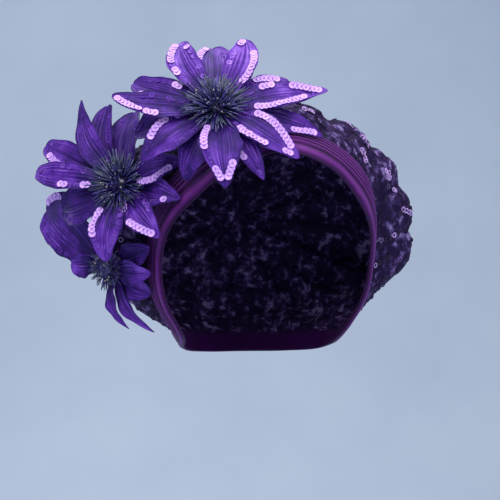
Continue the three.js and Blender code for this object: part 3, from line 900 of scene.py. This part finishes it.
class HEADWRAP_OT_crown_sequins(bpy.types.Operator):
    """Sew wandering rows of sequins over the crown"""

    bl_idname = "head_wrap.crown_sequins"
    bl_label = "Make Crown Sequins"

    def execute(self, context):
        sizes = context.scene.head_wrap
        colours = context.scene.head_wrap_colours
        chance = np.random.default_rng(7)
        frames, tones = [], []
        rows = SEQUIN_ROWS_PER_LOBE * CROWN_LOBES
        for row in range(rows):
            along = np.linspace(0.05, 0.94, 400)
            wander = 0.006 * np.sin(9 * along + row) + 0.003 * np.sin(31 * along + 2.1 * row)
            turn = ((row + 0.5) / rows + wander) % 1.0
            line, beside = self.seam_line(turn, along)
            lengths = run_lengths(line)
            stops = np.arange(0, lengths[-1], sizes.crown_sequin_pitch / MM)
            picks = np.clip(np.searchsorted(lengths, stops), 1, len(along) - 2)
            patch = noise_at(line[picks], 22.0)
            glint = noise_at(line[picks] + 71.0, 9.0)
            for pick, near, bright in zip(picks, patch, glint):
                if near < -0.05 + 0.25 * chance.random():
                    continue
                frames.append(self.sewn_frame(line, beside, pick, chance))
                # painted glints where the glint noise is high, painted shade elsewhere
                tones.append(1.2 * max(bright - 0.20, 0.0) + chance.uniform(-0.18, 0.06))
        for start_turn, start_along, end_turn, end_along, count in CROWN_GLINTS:
            turn = np.linspace(start_turn, end_turn, count + 2)
            line, beside = self.seam_line(turn, np.linspace(start_along, end_along, count + 2))
            for pick in range(1, count + 1):
                frames.append(self.sewn_frame(line, beside, pick, chance))
                # a painted glint tone
                tones.append(chance.uniform(0.45, 0.6))
        radius = sizes.crown_sequin / 2
        shape = sequin_shape(radius, *CROWN_SEQUIN_SECTION)
        # crown sequin tones from painted shade to a painted glint
        stops = (
            (0.0, colours.shadow), (0.25, colours.net),
            (0.6, colours.motif), (1.0, colours.sequin_painted_glint),
        )
        mesh = joined_copies("crown_sequins", shape, frames, tones, ring_painted_glint(radius))
        make_piece("crown_sequins", mesh, sequin_finish("crown_sequins", stops))
        return {"FINISHED"}

    @staticmethod
    def seam_line(turn, along):
        """Places along a sewn row, and places just beside it."""
        return crown_shape(turn, along)[0], crown_shape((turn + 0.002) % 1.0, along)[0]

    @staticmethod
    def sewn_frame(line, beside, pick, chance):
        """Placing of one sequin that lies loosely on the lace."""
        ahead = unit(line[pick + 1] - line[pick - 1])
        normal = unit(np.cross(ahead, beside[pick] - line[pick]))
        if np.dot(normal, line[pick] - CROWN_CENTRE) < 0:
            normal = -normal
        tilted = turned(normal, ahead, chance.uniform(-14, 14))
        tilted = turned(tilted, np.cross(normal, ahead), chance.uniform(-10, 10))
        return frame_matrix(ahead, tilted, line[pick] + normal * 0.7)


class HEADWRAP_OT_petals(bpy.types.Operator):
    """Shape the pleated organza petals of the three flowers"""

    bl_idname = "head_wrap.petals"
    bl_label = "Make Petals"

    def execute(self, context):
        sizes = context.scene.head_wrap
        cloth = organza_finish(context.scene.head_wrap_colours)
        for flower, rows in PETALS.items():
            matrix = flower_matrix(flower)
            for number, row in enumerate(rows, 1):
                surface = petal_surface(row, petal_seed(flower, number))

                def shape(across, along, surface=surface, matrix=matrix):
                    places, folds = surface(across, along)
                    return to_world(matrix, places), folds

                bm = shaped_grid(*PETAL_GRID, shape)
                bm.normal_update()
                facing = Vector(matrix[:3, 2])
                if sum(face.normal.dot(facing) for face in bm.faces) < 0:
                    bmesh.ops.reverse_faces(bm, faces=bm.faces)
                node = f"{flower}_petal_{number}"
                mesh = mesh_of(bm, node)
                piece = make_piece(f"{node}_cloth", mesh, cloth, node)
                thicken(piece, sizes.petal_thickness, 0.0)
        return {"FINISHED"}


class HEADWRAP_OT_petal_sequins(bpy.types.Operator):
    """Sew overlapping sequins along both margins of each petal that carries them"""

    bl_idname = "head_wrap.petal_sequins"
    bl_label = "Make Petal Sequins"

    def execute(self, context):
        sizes = context.scene.head_wrap
        colours = context.scene.head_wrap_colours
        # sequin tones from painted shade through painted sheen to a painted highlight
        stops = ((0.0, colours.sequin_painted_shade), (0.5, colours.painted_sheen), (1.0, colours.sequin_painted_glint))
        film = sequin_finish("petal_sequins", stops)
        chance = np.random.default_rng(21)
        radius = sizes.petal_sequin / 2
        for flower, rows in PETALS.items():
            matrix = flower_matrix(flower)
            frames, tones = [], []
            for number, row in enumerate(rows, 1):
                if row[9] is None:
                    continue
                surface = petal_surface(row, petal_seed(flower, number))
                for margin in (-1, 1):
                    self.margin_row(row, surface, margin, matrix, sizes, chance, frames, tones)
            shape = sequin_shape(radius, *PETAL_SEQUIN_SECTION)
            name = f"{flower}_sequins"
            mesh = joined_copies(name, shape, frames, tones, sequin_painted_crescent(radius))
            make_piece(name, mesh, film)
        return {"FINISHED"}

    @staticmethod
    def margin_row(row, surface, margin, matrix, sizes, chance, frames, tones):
        """Add the frames and tones of one row of sequins."""
        width, tip, shade, runs = row[3], row[4], row[8], row[9]
        along = np.linspace(0.12, 0.90 + 0.15 * min(tip, 0.4), 300)
        half = width * petal_width(along, tip) / 2
        inset = sizes.petal_sequin / MM * 0.55
        share = margin * np.maximum(0.12, 1 - inset / half)
        line, _ = surface((share + 1) / 2, along, pleated=0.0)
        beside, _ = surface((share + 0.04 + 1) / 2, along, pleated=0.0)
        line, beside = to_world(matrix, line), to_world(matrix, beside)
        lengths = run_lengths(line)
        stops = np.arange(0, lengths[-1], sizes.petal_sequin_pitch / MM)
        for pick in np.clip(np.searchsorted(lengths, stops), 1, len(along) - 2):
            ahead = unit(line[pick + 1] - line[pick - 1])
            normal = unit(np.cross(ahead, beside[pick] - line[pick]))
            lit = any(side == margin and low <= along[pick] <= high for side, low, high in runs)
            if not lit and chance.random() < SHADED_SKIPPED:
                continue
            roll = chance.uniform(*(LIT_ROLL if lit else SHADED_ROLL))
            tilt = chance.uniform(*(LIT_TILT if lit else SHADED_TILT))
            tilted = turned(normal, ahead, -margin * roll)
            tilted = turned(tilted, np.cross(tilted, ahead), tilt)
            height = (LIT_HEIGHT if lit else SHADED_HEIGHT) + 0.25 * chance.random()
            place = line[pick] + normal * height
            frames.append(frame_matrix(ahead, tilted, place, 1.0 if lit else SHADED_SIZE))
            # lit sequins take a painted highlight tone, the others the petal's painted shade
            tone = chance.uniform(*(LIT_TONE if lit else SHADED_TONE))
            tones.append(tone if lit else max(0.0, shade + tone))


class HEADWRAP_OT_bases(bpy.types.Operator):
    """Cover the flower bases and their stalks with gathered cloth"""

    bl_idname = "head_wrap.bases"
    bl_label = "Make Flower Bases"

    def execute(self, context):
        cloth = base_finish(context.scene.head_wrap_colours)
        depsgraph = context.evaluated_depsgraph_get()
        crown = BVHTree.FromObject(bpy.data.objects["crown_cloth"], depsgraph)
        for flower in FLOWERS:
            matrix = flower_matrix(flower)
            hub = Vector(matrix[:3, 3]) * MM
            axis = Vector(matrix[:3, 2])
            hit = crown.ray_cast(hub, -axis)
            if hit[0] is None:
                raise RuntimeError(f"the stalk of the {flower} flower misses the crown")
            length = hit[3] / MM + 0.5
            section = (
                (0.0, BUTTON_HALF), (7.0, BUTTON_HALF), (10.0, 3.2), (BUTTON_RADIUS - 0.2, 1.0),
                (BUTTON_RADIUS - 0.4, -2.0), (9.5, -3.6), (STALK_RADIUS + 0.4, -BUTTON_HALF),
                (STALK_RADIUS, -0.5 * (BUTTON_HALF + length)),
                (STALK_RADIUS - 0.2, -length), (0.0, -length),
            )
            bm = bmesh.new()
            verts = [bm.verts.new((x * MM, 0.0, z * MM)) for x, z in section]
            edges = [bm.edges.new(pair) for pair in zip(verts, verts[1:])]
            bmesh.ops.spin(
                bm, geom=verts + edges, cent=(0, 0, 0), axis=(0, 0, 1),
                angle=math.tau, steps=48, use_merge=True, use_duplicate=False,
            )
            bmesh.ops.remove_doubles(bm, verts=bm.verts, dist=1e-6)
            bmesh.ops.recalc_face_normals(bm, faces=bm.faces)
            for vert in bm.verts:
                round_at = math.atan2(vert.co.y, vert.co.x)
                gather = 1 + 0.035 * math.cos(16 * round_at)
                vert.co.x *= gather
                vert.co.y *= gather
            placed = Matrix(matrix)
            placed.translation = hub
            bmesh.ops.transform(bm, matrix=placed, verts=bm.verts)
            node = f"{flower}_base"
            make_piece(f"{node}_cloth", mesh_of(bm, node), cloth, node)
        return {"FINISHED"}


class HEADWRAP_OT_stamens(bpy.types.Operator):
    """Spread a spray of fine spikes and beads in the middle of each flower"""

    bl_idname = "head_wrap.stamens"
    bl_label = "Make Stamens"

    def execute(self, context):
        look = stamen_finish(context.scene.head_wrap_colours)
        chance = np.random.default_rng(5)
        for flower, (_, _, _, reach) in FLOWERS.items():
            matrix = flower_matrix(flower)
            axes, upright = matrix[:3, :3], matrix[:3, 2]
            seat = matrix[:3, 3] + upright * (BUTTON_HALF + 0.4)
            frames, tones, beads = [], [], []
            count = context.scene.head_wrap.stamen_count
            for number in range(count):
                part = (number + 0.5) / count
                rise = math.asin(0.04 + 0.96 * part**1.3)
                round_at = number * SPIRAL_STEP + chance.uniform(-0.25, 0.25)
                flat = np.array((math.cos(round_at), math.sin(round_at), 0.0))
                way = math.cos(rise) * flat + np.array((0.0, 0.0, math.sin(rise)))
                root = axes @ (way * np.array((6.5, 6.5, 1.5))) + seat
                length = reach * (1.16 - 0.46 * math.sin(rise)) * chance.uniform(0.70, 1.0) - 4.5
                spike = axes @ unit(way + chance.uniform(-0.2, 0.2, 3))
                beside = np.cross(spike, upright + 0.01)
                frames.append(frame_matrix(spike, beside, root, length * MM))
                tones.append(float(chance.choice(SPIKE_TONES, p=SPIKE_TONE_ODDS)))
                if number % 4 == 1 and rise > 0.62:
                    beads.append(root + spike * length * chance.uniform(0.85, 1.0))
            spray = joined_copies("spikes", self.spike_shape(), frames, tones)
            right, _, up = np.eye(3)
            dots = [frame_matrix(right, up, bead) for bead in beads]
            lustre = chance.uniform(0.62, 1.0, len(dots))
            pearls = joined_copies("beads", self.bead_shape(), dots, lustre)
            bm = bmesh.new()
            bm.from_mesh(spray)
            bm.from_mesh(pearls)
            self.add_cushion(bm, matrix, seat)
            node = f"{flower}_stamens"
            make_piece(f"{node}_spray", mesh_of(bm, node), look, node)
        return {"FINISHED"}

    @staticmethod
    def spike_shape():
        """A thin five-sided spike, one long, along X."""
        bm = bmesh.new()
        foot, point = SPIKE_RADII
        bmesh.ops.create_cone(
            bm, cap_ends=True, segments=5, radius1=foot, radius2=point, depth=1.0
        )
        bmesh.ops.translate(bm, vec=(0, 0, 0.5), verts=bm.verts)
        lying = Matrix.Rotation(math.pi / 2, 3, "Y")
        bmesh.ops.rotate(bm, cent=(0, 0, 0), matrix=lying, verts=bm.verts)
        bm.verts.index_update()
        return bm

    @staticmethod
    def bead_shape():
        """A small round bead."""
        bm = bmesh.new()
        bmesh.ops.create_icosphere(bm, subdivisions=1, radius=BEAD_RADIUS)
        bm.verts.index_update()
        return bm

    @staticmethod
    def add_cushion(bm, matrix, seat):
        """Add the low dome that the spikes stand in."""
        made = bmesh.ops.create_uvsphere(bm, u_segments=24, v_segments=12, radius=1.0)
        placed = Matrix(matrix)
        placed.translation = Vector(seat) * MM
        size = Matrix.Diagonal(CUSHION_SIZE)
        bmesh.ops.transform(bm, matrix=placed @ size, verts=made["verts"])


VIEW_AZIMUTH = -10.0
VIEW_DISTANCE = 1.0
VIEW_AIM = (-0.00912, -0.02128)
VIEW_LENS = 94.74
SKY_COLOUR = (0.62, 0.72, 0.88, 1.0)
SKY_STRENGTH = 0.55

# Soft lights: place and size in metres, power in watts and tint
LIGHTS = {
    "key": ((-0.7, -1.5, 1.5), 1.6, 42.0, (1.0, 0.98, 0.97)),
    "fill": ((1.4, -1.3, 0.5), 1.8, 16.0, (0.93, 0.96, 1.0)),
    "top": ((0.2, 0.5, 1.9), 1.6, 26.0, (0.95, 0.97, 1.0)),
    "back": ((-0.8, 1.6, 0.9), 1.2, 10.0, (0.95, 0.97, 1.0)),
}


class HEADWRAP_OT_stage(bpy.types.Operator):
    """Set the pale backdrop, the soft lights and the camera"""

    bl_idname = "head_wrap.stage"
    bl_label = "Make Stage"

    def execute(self, context):
        scene = context.scene
        self.backdrop(scene)
        for name, values in LIGHTS.items():
            self.light(scene, name, *values)
        world = bpy.data.worlds.new("soft sky")
        world.use_nodes = True
        sky = world.node_tree.nodes["Background"]
        sky.inputs["Color"].default_value = SKY_COLOUR
        sky.inputs["Strength"].default_value = SKY_STRENGTH
        scene.world = world
        scene.view_settings.view_transform = "Standard"
        self.camera(scene)
        return {"FINISHED"}

    @staticmethod
    def backdrop(scene):
        """A pale sheet that runs along the floor and up behind."""
        bm = bmesh.new()
        bmesh.ops.create_grid(bm, x_segments=2, y_segments=40, size=0.5)
        floor, depth, wall, bend = -0.80, 3.0, 2.6, 0.9
        for vert in bm.verts:
            run = (vert.co.y + 0.5) * (depth + wall + 0.5 * math.pi * bend + 1.2)
            turn = min(max((run - depth - wall + bend) / bend, 0.0), 0.5 * math.pi)
            rise = max(run - depth - wall + bend - 0.5 * math.pi * bend, 0.0)
            y = min(run, depth + wall - bend) - depth + bend * math.sin(turn)
            vert.co = (vert.co.x * 9.0, y, floor + bend * (1 - math.cos(turn)) + rise)
        mesh = mesh_of(bm, "backdrop")
        mesh.polygons.foreach_set("use_smooth", np.ones(len(mesh.polygons), dtype=bool))
        finish = Finish("backdrop")
        clouds = finish.noise(finish.solid(), 3.0, 3.0)
        finish.set(
            Base_Color=finish.ramp(clouds, ((0.3, (0.50, 0.56, 0.66)), (0.7, (0.55, 0.61, 0.70)))),
            Roughness=0.9,
        )
        mesh.materials.append(finish.material)
        sheet = bpy.data.objects.new("backdrop", mesh)
        scene.collection.objects.link(sheet)

    @staticmethod
    def light(scene, name, place, size, power, tint):
        """A square soft light aimed at the wrap."""
        lamp = bpy.data.lights.new(name, "AREA")
        lamp.size = size
        lamp.energy = power
        lamp.color = tint
        holder = bpy.data.objects.new(name, lamp)
        holder.location = place
        holder.rotation_mode = "QUATERNION"
        holder.rotation_quaternion = (-Vector(place)).to_track_quat("-Z", "Y")
        holder.visible_camera = False
        scene.collection.objects.link(holder)

    @staticmethod
    def camera(scene):
        """A camera at the photograph's angle."""
        turn = math.radians(VIEW_AZIMUTH)
        right = Vector((math.cos(turn), math.sin(turn), 0.0))
        back = Vector((math.sin(turn), -math.cos(turn), 0.0))
        aim = right * VIEW_AIM[0] + Vector((0, 0, VIEW_AIM[1]))
        lens = bpy.data.cameras.new("camera")
        lens.lens = VIEW_LENS
        lens.sensor_width = 36.0
        holder = bpy.data.objects.new("camera", lens)
        holder.location = aim + back * VIEW_DISTANCE
        holder.rotation_mode = "QUATERNION"
        holder.rotation_quaternion = (-back).to_track_quat("-Z", "Y")
        scene.collection.objects.link(holder)
        scene.camera = holder


class HEADWRAP_PT_sidebar(bpy.types.Panel):
    """Sizes, colours and steps of the head wrap"""

    bl_idname = "HEADWRAP_PT_sidebar"
    bl_label = "Tied Head Wrap"
    bl_space_type = "VIEW_3D"
    bl_region_type = "UI"
    bl_category = "Head Wrap"

    def draw(self, context):
        layout = self.layout
        for group in (context.scene.head_wrap, context.scene.head_wrap_colours):
            box = layout.box()
            for name in group.__annotations__:
                box.prop(group, name)
        for step in STEPS:
            layout.operator(step.bl_idname)


STEPS = (
    HEADWRAP_OT_stage,
    HEADWRAP_OT_band,
    HEADWRAP_OT_crown,
    HEADWRAP_OT_crown_sequins,
    HEADWRAP_OT_bases,
    HEADWRAP_OT_petals,
    HEADWRAP_OT_petal_sequins,
    HEADWRAP_OT_stamens,
)
CLASSES = (WrapSettings, WrapColours, *STEPS, HEADWRAP_PT_sidebar)


def register():
    for made in CLASSES:
        bpy.utils.register_class(made)
    bpy.types.Scene.head_wrap = bpy.props.PointerProperty(type=WrapSettings)
    bpy.types.Scene.head_wrap_colours = bpy.props.PointerProperty(type=WrapColours)


def unregister():
    del bpy.types.Scene.head_wrap_colours
    del bpy.types.Scene.head_wrap
    for made in reversed(CLASSES):
        bpy.utils.unregister_class(made)


def main():
    register()
    bpy.ops.head_wrap.stage()
    bpy.ops.head_wrap.band()
    bpy.ops.head_wrap.crown()
    bpy.ops.head_wrap.crown_sequins()
    bpy.ops.head_wrap.bases()
    bpy.ops.head_wrap.petals()
    bpy.ops.head_wrap.petal_sequins()
    bpy.ops.head_wrap.stamens()


if __name__ == "__main__":
    main()
